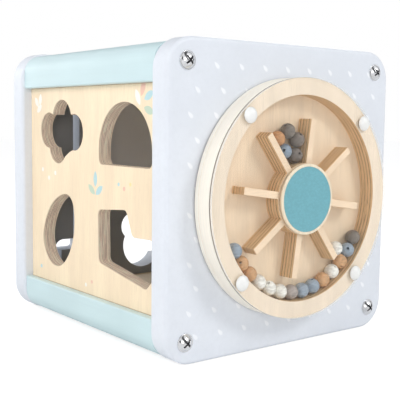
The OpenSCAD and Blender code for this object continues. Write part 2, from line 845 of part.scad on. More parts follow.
// Blocks: each has the outline of its hole. Cloud and oval lie flat, arch and boot stand on edge.
// They lie side by side in four lanes, from the front rail to the back rail, with equal gaps.
cloud_over = lobe_middles[1][1] + lobe_radii[1] - block_gap;
cloud_under = lobe_radii[3] - lobe_middles[3][1] - block_gap;
lane_width_cloud = cloud_over + cloud_under;
lane_width_oval = 2 * (oval_b - block_gap);
lane_gap = (2 * rail_y - lane_width_cloud - lane_width_oval - 2 * block_t) / 5;
lane_cloud_y = -rail_y + lane_gap + cloud_under;
lane_oval_y = lane_cloud_y + cloud_over + lane_gap + lane_width_oval / 2;
lane_arch_y = lane_oval_y + lane_width_oval / 2 + lane_gap + block_t / 2;
lane_boot_y = lane_arch_y + block_t + lane_gap;
lane_end_x = inner_x - lane_rest_gap;

module block_cloud() {
    reach = lobe_middles[2][0] + lobe_radii[2] - block_gap;
    color(aqua) placed() translate([lane_end_x - reach, lane_cloud_y, floor_z])
        linear_extrude(block_t) cloud_shape(block_gap);
}

module block_oval() {
    reach = oval_a - block_gap;
    color(teal) placed() translate([lane_end_x - reach, lane_oval_y, floor_z])
        linear_extrude(block_t) rotate([0, 0, -oval_tilt]) oval_shape(block_gap);
}

module block_arch() {
    reach = arch_r - block_gap;
    rise = arch_foot / 2 + arch_r / 2 - block_gap;
    color(bead_clay) placed()
        translate([lane_end_x - reach, lane_arch_y + block_t / 2, floor_z + rise])
        rotate([90, 0, 0]) linear_extrude(block_t) arch_shape(block_gap);
}

// The boot is turned so that its sole lies flat on the floor
module block_boot() {
    sole = boot_corners[1] - boot_corners[0];
    tilt = atan2(sole[1], sole[0]);
    turned = [for (c = boot_corners) [c * ray(tilt), c * ray(tilt + quarter)]];
    reach = max([for (c = turned) c[0]]) - block_gap / 2;
    rise = -min([for (c = turned) c[1]]) - block_gap;
    color(bead_grey) placed()
        translate([lane_end_x - reach, lane_boot_y + block_t / 2, floor_z + rise])
        rotate([90, 0, 0]) linear_extrude(block_t) rotate([0, 0, -tilt]) boot_shape(block_gap);
}

// Slider: knob with a stem outside, disc inside, and a screw that holds them together
module at_slider() {
    translate([-inner_x, slot_y, knob_rest]) rotate([0, -90, 0]) children();
}

module slider_knob() {
    r = knob_d / 2;
    seat = plate_t + slider_gap;
    color(aqua) placed() at_slider() difference() {
        rotate_extrude($fn = round_fn) {
            translate([0, -slider_gap]) square([stem_r, seat + slider_gap + past]);
            translate([0, seat]) square([r, knob_length - knob_edge_r]);
            translate([0, seat]) square([r - knob_edge_r, knob_length]);
            translate([r - knob_edge_r, seat + knob_length - knob_edge_r])
                intersection() {
                    circle(r = knob_edge_r, $fn = fine);
                    square(knob_edge_r);
                }
        }
        translate([0, 0, -slider_gap - past])
            cylinder(r = slider_screw_d / 2 + fit_gap, h = slider_screw_length + past, $fn = fine);
    }
}

module slider_disc() {
    color(pale_wood) placed() at_slider() translate([0, 0, -slider_gap - slider_disc_t]) difference() {
        cylinder(d = slider_disc_d, h = slider_disc_t, $fn = round_fn);
        translate([0, 0, -past])
            cylinder(r = slider_screw_d / 2 + fit_gap, h = slider_disc_t + 2 * past, $fn = fine);
        translate([0, 0, -past]) cylinder(r = slider_head_r + fit_gap, h = slider_head_h + past, $fn = fine);
    }
}

module slider_screw() {
    color(chrome) placed() at_slider()
        translate([0, 0, -slider_gap - slider_disc_t + slider_head_h]) mirror([0, 0, 1])
        cross_screw(2 * slider_head_r, slider_head_h, slider_screw_d, slider_screw_length - slider_disc_t);
}

wheel_plate();
far_plate();
rail(-1, 1);  // rail_top_front
rail(1, 1);  // rail_top_back
rail(-1, -1);  // rail_base_front
rail(1, -1);  // rail_base_back
sorter_panel();
back_panel();
top_panel();
base_panel();
plate_screws();
screw_washers();
rail_inserts();
axle_bolt();
axle_head_washer();
axle_spacer();
axle_nut_washer();
axle_nut();
drum_disc();
drum_ring();
drum_star();
drum_window();
drum_bush();
hub_cap();
hub_inlay();
window_screws();
screw_caps();
upper_beads_grey();
upper_beads_charcoal();
upper_beads_blue();
upper_beads_clay();
lower_bead_white();
run_beads_blue();
run_beads_clay();
run_beads_white();
run_beads_grey();
run_beads_charcoal();
block_cloud();
block_arch();
block_oval();
block_boot();
slider_knob();
slider_disc();
slider_screw();
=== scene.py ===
# %% [markdown]
# # A wooden activity cube
# The toy is a ply box between two thick painted end plates. Its front panel has four shape
# holes, and on one end plate turns a drum with wooden beads behind a clear window.
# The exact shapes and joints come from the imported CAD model, so this lesson is about looks:
# softened edges, ply layers, paint, chrome, clear plastic and light.

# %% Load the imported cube
import math
import random

import bmesh
import bpy
from mathutils import Matrix, Vector


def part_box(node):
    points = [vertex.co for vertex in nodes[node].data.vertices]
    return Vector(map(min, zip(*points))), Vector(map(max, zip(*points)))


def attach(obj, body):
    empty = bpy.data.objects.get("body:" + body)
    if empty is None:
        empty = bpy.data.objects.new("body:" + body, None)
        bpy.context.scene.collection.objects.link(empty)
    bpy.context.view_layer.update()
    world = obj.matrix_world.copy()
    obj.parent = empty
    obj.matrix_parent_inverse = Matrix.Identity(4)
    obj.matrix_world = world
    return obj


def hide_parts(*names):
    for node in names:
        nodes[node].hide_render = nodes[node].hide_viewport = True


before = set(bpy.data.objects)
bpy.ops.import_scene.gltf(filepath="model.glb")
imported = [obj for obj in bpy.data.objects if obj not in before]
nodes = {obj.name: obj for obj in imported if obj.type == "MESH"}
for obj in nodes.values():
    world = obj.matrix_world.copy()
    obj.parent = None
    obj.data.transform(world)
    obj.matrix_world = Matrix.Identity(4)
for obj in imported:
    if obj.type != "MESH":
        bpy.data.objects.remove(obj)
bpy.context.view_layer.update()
print("nodes in the frame:", len(nodes))

# %% [markdown]
# ## Places that everything else refers to
# The drum turns about an axle that points along X, in the middle of the cube's width, where Y
# is zero. Its height is read from the CAD disc, so that nothing here has to be typed twice.
# Lengths are thought of in millimetres, as on a workshop drawing, and `MM` turns them into
# Blender's metres.

# %% Height of the axle and faces of the plates
MM = 0.001
disc_low, disc_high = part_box("drum_disc")
axle_z = (disc_low.z + disc_high.z) / 2
drum_r = (disc_high.z - disc_low.z) / 2
ring_low, ring_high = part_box("drum_ring")
panel_low, panel_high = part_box("sorter_panel")
plate_outer_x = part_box("wheel_plate")[1].x
far_low, far_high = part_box("far_plate")
print("axle height", round(axle_z, 4), "drum radius", round(drum_r, 4))

# %% [markdown]
# ## The camera
# The picture was taken from the front left corner of the drum plate, a little above the
# middle of the cube. The place and the turn were worked out from the straight edges of the
# plates. The camera is built from its own three axes, because a small roll is easier to give
# as a matrix than as a chain of angles.

# %% Set up the camera
camera_place = Vector((585.55, -447.6, 179.5)) * MM
yaw = math.radians(52.202)
pitch = math.radians(5.586)
roll = math.radians(0.639)
level = math.cos(pitch)
look = Vector((-math.sin(yaw) * level, math.cos(yaw) * level, -math.sin(pitch)))
side = look.cross(Vector((0, 0, 1))).normalized()
upward = side.cross(look)
right = math.cos(roll) * side + math.sin(roll) * upward
up = math.cos(roll) * upward - math.sin(roll) * side
camera_turn = Matrix((right, up, -look)).transposed().to_4x4()
camera = bpy.data.objects.new("camera", bpy.data.cameras.new("camera"))
camera.matrix_world = Matrix.Translation(camera_place) @ camera_turn
camera.data.sensor_width = 36
camera.data.lens = 72.706
camera.data.clip_start = 0.01
bpy.context.scene.collection.objects.link(camera)
bpy.context.scene.camera = camera
print("camera looks along", [round(c, 3) for c in look])

# %% [markdown]
# ## The room round the cube
# The world gives most of the light, and it answers in three ways. The camera, also through
# clear plastic, sees plain white. Matt surfaces get a soft even light. Shiny ones mirror a
# bright room with dark cloths hung in it, because chrome looks like grey plastic when it has
# nothing dark to mirror.

# %% Three lights of the world
world = bpy.data.worlds.new("studio")
bpy.context.scene.world = world
world.use_nodes = True
sky = world.node_tree
sky.nodes.clear()


def background(colour, strength=1.0):
    """One of the lights that the world is mixed from."""
    node = sky.nodes.new("ShaderNodeBackground")
    node.inputs["Color"].default_value = colour
    node.inputs["Strength"].default_value = strength
    return node


ambient = background((0.95, 0.97, 1.0, 1), 0.52)
white_back = background((1, 1, 1, 1))
room = background((0.8, 0.8, 0.8, 1))
print("world lights:", len(sky.nodes))

# %% [markdown]
# ## Dark cloths in the bright room
# Photographers hang black cloth beside chrome to draw its shape. Here a Wave texture gives
# soft diagonal bands over the whole sky: the dark ones are the cloths, the bright ones the
# walls, and they only change how strongly the room shines.

# %% Bands of cloth and wall
dark_cloth = 0.12
bright_wall = 1.25
sky_place = sky.nodes.new("ShaderNodeTexCoord")
cloths = sky.nodes.new("ShaderNodeTexWave")
cloths.wave_type = "BANDS"
cloths.bands_direction = "DIAGONAL"
cloths.inputs["Scale"].default_value = 0.55
cloths.inputs["Distortion"].default_value = 1.6
cloths.inputs["Detail"].default_value = 1.0
cloth_edge = sky.nodes.new("ShaderNodeMapRange")
cloth_edge.inputs["From Min"].default_value = 0.25
cloth_edge.inputs["From Max"].default_value = 0.6
cloth_edge.inputs["To Min"].default_value = dark_cloth
cloth_edge.inputs["To Max"].default_value = bright_wall
sky.links.new(sky_place.outputs["Generated"], cloths.inputs["Vector"])
sky.links.new(cloths.outputs["Fac"], cloth_edge.inputs["Value"])
sky.links.new(cloth_edge.outputs["Result"], room.inputs["Strength"])
print("room strength from", dark_cloth, "to", bright_wall)

# %% [markdown]
# ## Which ray sees what
# The Light Path node tells which kind of ray is asking. A first mix parts the mirrored room
# from the soft light, and a second one gives plain white to the rays that come from the
# camera, also those that have passed through clear plastic.

# %% Mix the world
rays = sky.nodes.new("ShaderNodeLightPath")
seen = sky.nodes.new("ShaderNodeMath")
seen.operation = "ADD"
seen.use_clamp = True
shiny = sky.nodes.new("ShaderNodeMixShader")
choose = sky.nodes.new("ShaderNodeMixShader")
world_out = sky.nodes.new("ShaderNodeOutputWorld")
sky.links.new(rays.outputs["Is Glossy Ray"], shiny.inputs[0])
sky.links.new(ambient.outputs[0], shiny.inputs[1])
sky.links.new(room.outputs[0], shiny.inputs[2])
sky.links.new(rays.outputs["Is Camera Ray"], seen.inputs[0])
sky.links.new(rays.outputs["Is Transmission Ray"], seen.inputs[1])
sky.links.new(seen.outputs[0], choose.inputs[0])
sky.links.new(shiny.outputs[0], choose.inputs[1])
sky.links.new(white_back.outputs[0], choose.inputs[2])
sky.links.new(choose.outputs[0], world_out.inputs["Surface"])
print("world nodes:", len(sky.nodes))

# %% [markdown]
# ## Lamps like in a bright studio
# Large soft lamps make weak shadows with wide edges. Five area lamps shape the light: one for
# the front panel, one from the upper right that throws the drum's soft shadow to the lower
# left, a fill from the camera's side, and two weaker ones for the sides that the camera does
# not see. They are kept low enough for a colour to render about as it is written.

# %% Lamps


def soft_lamp(name, place, size, power, colour=(1, 1, 1)):
    """A square area lamp that points at the middle of the cube. size in metres, power in watts."""
    lamp = bpy.data.objects.new(name, bpy.data.lights.new(name, "AREA"))
    lamp.data.shape = "SQUARE"
    lamp.data.size = size
    lamp.data.energy = power
    lamp.data.color = colour
    lamp.location = place
    aim = Vector((0, 0, axle_z)) - lamp.location
    lamp.rotation_euler = aim.to_track_quat("-Z", "Y").to_euler()
    bpy.context.scene.collection.objects.link(lamp)


soft_lamp("front_lamp", (-0.1, -1.6, 1.1), size=1.1, power=12.6, colour=(1.0, 0.985, 0.965))
soft_lamp("drum_lamp", (1.5, 0.75, 1.25), size=0.6, power=11.5, colour=(1.0, 0.99, 0.97))
soft_lamp("fill_lamp", (1.6, -1.1, 0.5), size=0.9, power=5.9, colour=(1.0, 0.99, 0.98))
soft_lamp("far_lamp", (-1.5, -0.6, 0.5), size=0.6, power=3.5)
soft_lamp("back_lamp", (-1.2, 1.4, 1.2), size=1.0, power=6.0)

# %% [markdown]
# ## The floor
# The floor is one large flat face. It lies a hair below the cube's feet, because two faces in
# one place would flicker.

# %% Lay the floor
floor_half = 6.0
floor_drop = 0.2 * MM
floor_mesh = bpy.data.meshes.new("floor")
bm = bmesh.new()
bmesh.ops.create_grid(bm, x_segments=1, y_segments=1, size=floor_half)
bm.to_mesh(floor_mesh)
bm.free()
floor = bpy.data.objects.new("floor", floor_mesh)
bpy.context.scene.collection.objects.link(floor)
floor.location.z = -floor_drop
print("floor laid,", floor_half * 2, "m wide")

# %% [markdown]
# ## White paper that keeps a shadow
# To the camera the floor should be as white as the room and still keep the cube's soft
# shadow, so for camera rays its shader is about half its own light and half a diffuse
# surface. To all other rays it is the diffuse surface alone, because its own light would
# brighten the cube from below.

# %% Paper for the floor
paper = bpy.data.materials.new("white_paper")
paper.use_nodes = True
sheet = paper.node_tree
sheet.nodes.clear()
paper_body = sheet.nodes.new("ShaderNodeBsdfDiffuse")
paper_body.inputs["Color"].default_value = (0.9, 0.9, 0.9, 1)
paper_glow = sheet.nodes.new("ShaderNodeEmission")
paper_glow.inputs["Strength"].default_value = 1.42
paper_rays = sheet.nodes.new("ShaderNodeLightPath")
glow_share = sheet.nodes.new("ShaderNodeMath")
glow_share.operation = "MULTIPLY"
glow_share.inputs[1].default_value = 0.55
paper_mix = sheet.nodes.new("ShaderNodeMixShader")
paper_out = sheet.nodes.new("ShaderNodeOutputMaterial")
sheet.links.new(paper_rays.outputs["Is Camera Ray"], glow_share.inputs[0])
sheet.links.new(glow_share.outputs[0], paper_mix.inputs[0])
sheet.links.new(paper_body.outputs[0], paper_mix.inputs[1])
sheet.links.new(paper_glow.outputs[0], paper_mix.inputs[2])
sheet.links.new(paper_mix.outputs[0], paper_out.inputs["Surface"])
floor_mesh.materials.append(paper)
print("floor paper:", paper.name)

# %% [markdown]
# ## Colours as a paint chart gives them
# Blender counts light in linear steps, but colours are easier to judge as the 0 to 255 values
# of a screen. One small function turns those into linear values, and another makes the same
# colour lighter or darker, which is most of what wood and paint need.

# %% Colour helpers


def srgb(red, green, blue):
    """A screen colour, 0 to 255, turned into Blender's linear values."""
    def channel(v):
        v /= 255
        return v / 12.92 if v <= 0.04045 else ((v + 0.055) / 1.055) ** 2.4
    return channel(red), channel(green), channel(blue), 1.0


def shade(colour, factor):
    """The same colour, lighter or darker."""
    return tuple(min(1.0, c * factor) for c in colour[:3]) + (1.0,)


print("mid grey is", round(srgb(128, 128, 128)[0], 3), "in linear light")

# %% [markdown]
# ## A small kit for finishes
# Each finish is a node tree. Written out node by node it would fill pages, so a helper class
# keeps one tree and offers the few steps that every finish needs: stretch the place, take
# noise from it, do a sum, mix two colours. All patterns read Object coordinates, so they stay
# on their piece when it moves.

# %% The finish helper
bump_depth = 0.2 * MM


class Finish:
    """One material, with short words for the nodes that wood, paint and metal need."""

    def __init__(self, name, roughness, metallic=0.0):
        self.material = bpy.data.materials.new(name)
        self.material.use_nodes = True
        self.tree = self.material.node_tree
        self.body = self.tree.nodes["Principled BSDF"]
        self.body.inputs["Metallic"].default_value = metallic
        self.body.inputs["Roughness"].default_value = roughness
        where = self.tree.nodes.new("ShaderNodeTexCoord")
        self.place = where.outputs["Object"]
        self.normal = where.outputs["Normal"]

    def feed(self, socket, value):
        """Links a node's output to a socket, or sets a plain value there."""
        if isinstance(value, bpy.types.NodeSocket):
            self.tree.links.new(value, socket)
        else:
            socket.default_value = value

    def sum(self, operation, a, b=0.0, c=0.0, clamp=False):
        """One step of arithmetic."""
        node = self.tree.nodes.new("ShaderNodeMath")
        node.operation = operation
        node.use_clamp = clamp
        for socket, value in zip(node.inputs, (a, b, c)):
            self.feed(socket, value)
        return node.outputs[0]

    def stretch(self, scale):
        """The place, scaled by axis. A small scale draws a pattern out along that axis."""
        node = self.tree.nodes.new("ShaderNodeMapping")
        node.inputs["Scale"].default_value = scale
        self.feed(node.inputs["Vector"], self.place)
        return node.outputs[0]

    def noise(self, place, scale, detail=3.0, roughness=0.55):
        """Soft random values about 0.5. scale is about how many blobs go on a metre."""
        node = self.tree.nodes.new("ShaderNodeTexNoise")
        node.inputs["Scale"].default_value = scale
        node.inputs["Detail"].default_value = detail
        node.inputs["Roughness"].default_value = roughness
        self.feed(node.inputs["Vector"], place)
        return node.outputs["Fac"]

    def ramp(self, value, low, high, to_low=0.0, to_high=1.0, smooth=True):
        """Goes from to_low to to_high while value goes from low to high, and stays there."""
        node = self.tree.nodes.new("ShaderNodeMapRange")
        node.interpolation_type = "SMOOTHSTEP" if smooth else "LINEAR"
        for socket, v in zip(node.inputs, (value, low, high, to_low, to_high)):
            self.feed(socket, v)
        return node.outputs[0]

    def mix(self, share, a, b):
        """Colour a where share is 0 and colour b where it is 1."""
        node = self.tree.nodes.new("ShaderNodeMix")
        node.data_type = "RGBA"
        self.feed(node.inputs["Factor"], share)
        self.feed(node.inputs[6], a)
        self.feed(node.inputs[7], b)
        return node.outputs[2]

    def axes(self, vector=None):
        """X, Y and Z of the place, or of another vector."""
        node = self.tree.nodes.new("ShaderNodeSeparateXYZ")
        self.feed(node.inputs[0], vector or self.place)
        return node.outputs[0], node.outputs[1], node.outputs[2]

    def bump(self, height, strength):
        """Lets the light see small heights that the mesh does not have."""
        node = self.tree.nodes.new("ShaderNodeBump")
        node.inputs["Strength"].default_value = strength
        node.inputs["Distance"].default_value = bump_depth
        self.feed(node.inputs["Height"], height)
        self.tree.links.new(node.outputs[0], self.body.inputs["Normal"])

    def colour(self, value):
        self.feed(self.body.inputs["Base Color"], value)

    def rough(self, value):
        self.feed(self.body.inputs["Roughness"], value)


print("finish helper ready, bumps up to", bump_depth / MM, "mm")

# %% [markdown]
# ## Satin paint
# The plates and rails are sprayed with a pale satin paint. Paint on wood is never quite even:
# it has a broad cloudiness, a fine orange peel that only shows in the gloss, and the grain
# below stands up a little. Three noises of very different scale give those three things.

# %% Paint
print_white = srgb(247, 250, 255)


def paint(name, colour, grain=(1, 1, 1), roughness=0.42, marks=None, inside=None):
    """marks gives the share of pale print, and inside changes the tone of inner faces."""
    f = Finish(name, roughness)
    broad = f.noise(f.place, scale=14.0, detail=2.0)
    streaks = f.noise(f.stretch(grain), scale=260.0, detail=4.0, roughness=0.6)
    peel = f.noise(f.place, scale=1400.0, detail=2.0)
    tone = f.mix(f.ramp(broad, 0.3, 0.7), shade(colour, 0.97), shade(colour, 1.03))
    tone = f.mix(f.ramp(streaks, 0.35, 0.75, 0.0, 0.35), tone, shade(colour, 0.93))
    if marks:
        tone = f.mix(marks(f), tone, print_white)
    if inside:
        tone = inside(f, tone)
    f.colour(tone)
    f.rough(f.ramp(peel, 0.2, 0.8, roughness - 0.06, roughness + 0.08))
    f.bump(f.sum("MULTIPLY_ADD", streaks, 0.7, f.sum("MULTIPLY", peel, 0.5)), 0.12)
    return f.material


lilac = srgb(227, 232, 240)
aqua = srgb(205, 228, 232)
rail_paint = paint("rail_paint", aqua, grain=(0.06, 1, 1), roughness=0.38)
print("painted finish:", rail_paint.name)

# %% [markdown]
# ## Drops on the plates
# The small white drops on the plates are a printed repeat pattern: two rows that take turns,
# each row with an even step, and each drop a stretched circle with one narrower end. They
# could be placed one by one, but a sum for the nearest place of the lattice draws all of them
# at once and keeps them sharp from near.

# %% The repeat pattern
skin_from = 0.3 * MM
skin_to = 0.1 * MM


def drop_marks(outer_x, facing):
    """Slanted drops on the outer face of a plate. facing is 1 or -1, the way that it looks."""
    step_y = 23.8 * MM
    step_z = 18.15 * MM
    first_y = -91.1 * MM
    first_z = 20.5 * MM
    odd_row_shift = -6.3 * MM
    lean = math.radians(44)
    half_length = 3.1 * MM
    taper = 3.0 * MM
    wide_end = 2.0 * MM
    narrow_end = 0.9 * MM
    half_print = 107 * MM
    cover = 0.85

    def draw(f):
        x, y, z = f.axes()
        # The nearest place of the lattice, and how far this point lies from it: u along Y, v up
        row = f.sum("ROUND", f.sum("DIVIDE", f.sum("SUBTRACT", z, first_z), step_z))
        odd = f.sum("FLOORED_MODULO", row, 2.0)
        v = f.sum("SUBTRACT", z, f.sum("MULTIPLY_ADD", row, step_z, first_z))
        from_first = f.sum("SUBTRACT", y, f.sum("MULTIPLY_ADD", odd, odd_row_shift, first_y))
        column = f.sum("ROUND", f.sum("DIVIDE", from_first, step_y))
        u = f.sum("SUBTRACT", from_first, f.sum("MULTIPLY", column, step_y))
        # The same two distances across and along the slanted drop
        c, s = math.cos(lean), math.sin(lean)
        a = f.sum("ADD", f.sum("MULTIPLY", u, c), f.sum("MULTIPLY", v, s))
        b = f.sum("SUBTRACT", f.sum("MULTIPLY", v, c), f.sum("MULTIPLY", u, s))
        width = f.ramp(b, -taper, taper, wide_end, narrow_end, smooth=False)
        reach = f.sum("POWER", f.sum("DIVIDE", a, width), 2.0)
        rise = f.sum("POWER", f.sum("DIVIDE", b, half_length), 2.0)
        inside = f.ramp(f.sum("ADD", reach, rise), 0.35, 1.5, 1.0, 0.0)
        # Only on the outer face, and not near its edge
        outer = outer_x * facing
        front = f.ramp(f.sum("MULTIPLY", x, facing), outer - skin_from, outer - skin_to)
        from_middle = f.sum("ABSOLUTE", f.sum("SUBTRACT", z, axle_z))
        widest = f.sum("MAXIMUM", f.sum("ABSOLUTE", y), from_middle)
        printed = f.sum("LESS_THAN", widest, half_print)
        return f.sum("MULTIPLY", f.sum("MULTIPLY", inside, printed), f.sum("MULTIPLY", front, cover))
    return draw


drum_plate_paint = paint("plate_paint_drum_side", lilac, marks=drop_marks(plate_outer_x, 1))
print("painted finish:", drum_plate_paint.name)

# %% [markdown]
# ## Painted shade inside
# Inside the box the far plate's inner face gets painted shade: grey at the front and below,
# turning to a painted near-white towards the middle and the top. The paint's tone is changed
# there and nowhere else: the X value picks the plate's inner face, and Y and Z keep the change
# between the panels, so that no edge outside turns grey.

# %% The far plate's paint
top_panel_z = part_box("top_panel")[0].z
# The two ends of the painted shade on the far plate's inner face
painted_shade_grey = srgb(160, 163, 168)
painted_shade_pale = srgb(255, 253, 255)
soft_edge = 2 * MM


def painted_interior_shade(f, tone):
    """Painted shade on the inner face of the far plate: grey, paler towards the middle and the top."""
    x, y, z = f.axes()
    face = f.ramp(x, far_high.x - skin_from, far_high.x - skin_to)
    behind_panel = f.ramp(y, panel_high.y, panel_high.y + soft_edge)
    below_top = f.ramp(z, top_panel_z - soft_edge, top_panel_z, 1.0, 0.0)
    within = f.sum("MULTIPLY", behind_panel, below_top)
    # Painted shade: darker towards the front and the bottom, paler towards the middle and the top
    inwards = f.ramp(y, -50 * MM, -5 * MM)
    upwards = f.ramp(z, 105 * MM, 140 * MM, 0.05, 1.0)
    interior_shade_tone = f.mix(f.sum("MULTIPLY", inwards, upwards), painted_shade_grey, painted_shade_pale)
    return f.mix(f.sum("MULTIPLY", face, within), tone, interior_shade_tone)


far_plate_paint = paint("plate_paint_far_side", lilac, marks=drop_marks(far_low.x, -1),
                        inside=painted_interior_shade)
print("painted finish:", far_plate_paint.name)

# %% [markdown]
# ## Birch ply
# Ply has two quite different sides. A face shows one thin sheet of birch, with fine straight
# grain, soft broad figure and short dark flecks. An edge shows the stack of sheets: every
# other one is cut across its grain and looks darker and rougher, and between them lie thin
# glue lines. Photographs of ply could be wrapped round, but they would never meet at the
# edges, so the finish draws both in the piece's own space.

# %% The face of a sheet


def grained(f, axis, squeeze):
    """The place, drawn out along the grain."""
    scale = [1.0, 1.0, 1.0]
    scale[axis] = squeeze
    return f.stretch(scale)


def ply_face(f, fine, grain, face):
    """The outer sheet: broad figure, fine lines and flecks, all along the grain."""
    figure = f.noise(grained(f, grain, 0.16), scale=70.0, detail=3.0, roughness=0.5)
    flecks = f.noise(grained(f, grain, 0.10), scale=1300.0, detail=1.0, roughness=0.4)
    tone = f.mix(f.ramp(figure, 0.3, 0.7), shade(face, 0.93), shade(face, 1.03))
    tone = f.mix(f.ramp(fine, 0.4, 0.7, 0.0, 0.55), tone, shade(face, 0.86))
    return f.mix(f.ramp(flecks, 0.66, 0.78, 0.0, 0.35), tone, shade(face, 0.72))


print("face of the ply ready")

# %% [markdown]
# ## The stack of sheets
# How deep a point lies in the thickness, counted in sheets, says all about an edge: the whole
# part is the sheet's number, and the rest tells how near the glue is. A little noise is added
# to the depth, so that the lines wander as in real ply.

# %% Sheets and glue on the edge


def ply_stack(f, across, start, sheet_thickness):
    """Two values for an edge: 1 in every other sheet, and 1 at the glue between sheets."""
    waviness = 0.35
    wander = f.sum("SUBTRACT", f.noise(f.place, scale=55.0, detail=2.0), 0.5)
    depth = f.sum("DIVIDE", f.sum("SUBTRACT", f.axes()[across], start), sheet_thickness)
    depth = f.sum("ADD", depth, f.sum("MULTIPLY", wander, waviness))
    odd = f.sum("FLOORED_MODULO", f.sum("FLOOR", depth), 2.0)
    from_middle = f.sum("ABSOLUTE", f.sum("SUBTRACT", f.sum("FRACT", depth), 0.5))
    return odd, f.ramp(from_middle, 0.3, 0.42)


def ply_edge(f, fine, across, odd, glue, edge, cross, line):
    """The cut edge: two kinds of sheets, thready dark and pale streaks, and the glue lines."""
    squeeze = [0.05, 0.05, 0.05]
    squeeze[across] = 1.0
    threads = f.noise(f.stretch(squeeze), scale=1100.0, detail=2.0, roughness=0.6)
    pores = f.noise(f.place, scale=2200.0, detail=2.0, roughness=0.6)
    long_grain = f.mix(f.ramp(fine, 0.35, 0.7), shade(edge, 1.1), edge)
    cross_grain = f.mix(f.ramp(pores, 0.35, 0.68), shade(edge, cross * 1.12), shade(edge, cross * 0.88))
    layers = f.mix(odd, long_grain, cross_grain)
    layers = f.mix(f.ramp(threads, 0.54, 0.64, 0.0, 0.3), layers, shade(edge, 0.5))
    layers = f.mix(f.ramp(threads, 0.38, 0.48, 0.6, 0.0), layers, shade(edge, 1.3))
    glue_shows = f.sum("MULTIPLY", glue, f.ramp(threads, 0.38, 0.55, 0.3, 0.95))
    return f.mix(glue_shows, layers, shade(edge, line))


print("edge of the ply ready")

# %% [markdown]
# ## The whole ply finish
# The two sides meet here. The direction of the surface, along the thickness or across it,
# chooses between them with a soft change, so a bevelled edge passes from one to the other.
# The cut edge is also duller and a little stepped, as sheets never sand down equally.

# %% Ply


def ply(name, across, grain, start, thickness, sheets, face, edge, cross, line,
        light_band=None, motifs=None):
    """across and grain are axes, 0 for X, 1 for Y and 2 for Z: of the thickness and of the
    outer grain. start is where the first sheet begins. cross is how light the sheets are that
    are cut across their grain, and line how light the glue is, both against the edge colour."""
    f = Finish(name, 0.5)
    fine = f.noise(grained(f, grain, 0.05), scale=900.0, detail=4.0, roughness=0.6)
    tone = ply_face(f, fine, grain, face)
    if motifs:
        tone = motifs(f, tone)
    odd, glue = ply_stack(f, across, start, thickness / sheets)
    layers = ply_edge(f, fine, across, odd, glue, edge, cross, line)
    if light_band:
        layers = light_band(f, layers)
    flat = f.ramp(f.sum("ABSOLUTE", f.axes(f.normal)[across]), 0.55, 0.85)
    f.colour(f.mix(flat, layers, tone))
    f.rough(f.ramp(flat, 0.0, 1.0, 0.68, 0.46))
    steps = f.sum("MULTIPLY_ADD", f.sum("SUBTRACT", 1.0, glue), 0.8, f.sum("MULTIPLY", odd, -0.5))
    f.bump(f.mix(flat, steps, f.sum("MULTIPLY", fine, 0.5)), 0.35)
    return f.material


print("ply finish ready")

# %% [markdown]
# ## Small printed motifs on the front panel
# The front panel carries a few small pastel prints. Here they are plain leaves and dots of
# our own. A leaf is where two circles overlap, and a dot is a leaf about as wide as it is
# long. The ink is thin, so a little of the grain still shows through. Where the panel goes
# into the rails, a thin brown line stands for the shadow in the joint.

# %% Where the leaves and dots are
ink_white = srgb(255, 253, 247)
ink_blue = srgb(168, 218, 232)
ink_coral = srgb(240, 190, 172)
ink_yellow = srgb(252, 226, 150)
ink_sage = srgb(186, 214, 196)
# Each leaf is x, z, length, width in millimetres, angle in degrees, ink
leaves = [
    (78, 204, 13.5, 6.0, 70, ink_coral),
    (86, 198, 13.5, 6.0, 25, ink_blue),
    (71, 197, 13.5, 6.0, 118, ink_white),
    (86, 187, 13.5, 6.0, -18, ink_sage),
    (71, 186, 13.5, 6.0, 155, ink_yellow),
    (-92, 189, 11.0, 5.6, 35, ink_white),
    (-90, 197, 11.0, 5.6, 80, ink_white),
    (-97, 195, 11.0, 5.6, 130, ink_white),
    (8, 131, 13.0, 5.6, 90, ink_blue),
    (14, 122, 13.0, 5.6, 35, ink_blue),
    (2, 122, 13.0, 5.6, 145, ink_sage),
]
# Each dot is x, z, length in millimetres, ink
dots = [
    (-74, 127, 4.0, ink_white),
    (-62, 132, 4.0, ink_white),
    (-86, 134, 4.0, ink_white),
    (52, 126, 3.6, ink_coral),
    (61, 130, 3.0, ink_yellow),
    (44, 129, 3.0, ink_blue),
    (-8, 40, 3.4, ink_white),
    (2, 44, 3.0, ink_coral),
    (-90, 44, 3.4, ink_blue),
]
# How wide a dot is for its length
dot_width = 0.999
print(len(leaves), "leaves and", len(dots), "dots")

# %% [markdown]
# ## Drawing a leaf with sums
# Seen in its own directions, along its length and across it, a leaf is the same on both sides.
# So the distance across is made positive, and the leaf is what lies within one circle whose
# middle sits on the other side. The larger that circle, the slimmer the leaf.

# %% Print the motifs
soft_rim = 0.15 * MM
ink_cover = 0.8
joint_shadow_brown = srgb(150, 108, 66)
joint_shadow_cover = 0.65
joint_from = 0.9 * MM
joint_to = 0.1 * MM
panel_top_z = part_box("rail_top_front")[0].z
panel_base_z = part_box("rail_base_front")[1].z


def leaf_mask(f, x, z, length, width, angle):
    """1 inside a leaf on the front panel, 0 outside it."""
    px, _, pz = f.axes()
    u = f.sum("SUBTRACT", px, x * MM)
    v = f.sum("SUBTRACT", pz, z * MM)
    c, s = math.cos(math.radians(angle)), math.sin(math.radians(angle))
    along = f.sum("ADD", f.sum("MULTIPLY", u, c), f.sum("MULTIPLY", v, s))
    over = f.sum("ABSOLUTE", f.sum("SUBTRACT", f.sum("MULTIPLY", v, c), f.sum("MULTIPLY", u, s)))
    half, deep = length * MM / 2, width * MM / 2
    bow = (half * half + deep * deep) / (2 * deep)
    raised = f.sum("ADD", over, bow - deep)
    away = f.sum("SQRT", f.sum("MULTIPLY_ADD", raised, raised, f.sum("MULTIPLY", along, along)))
    return f.ramp(away, bow - soft_rim, bow + soft_rim, 1.0, 0.0)


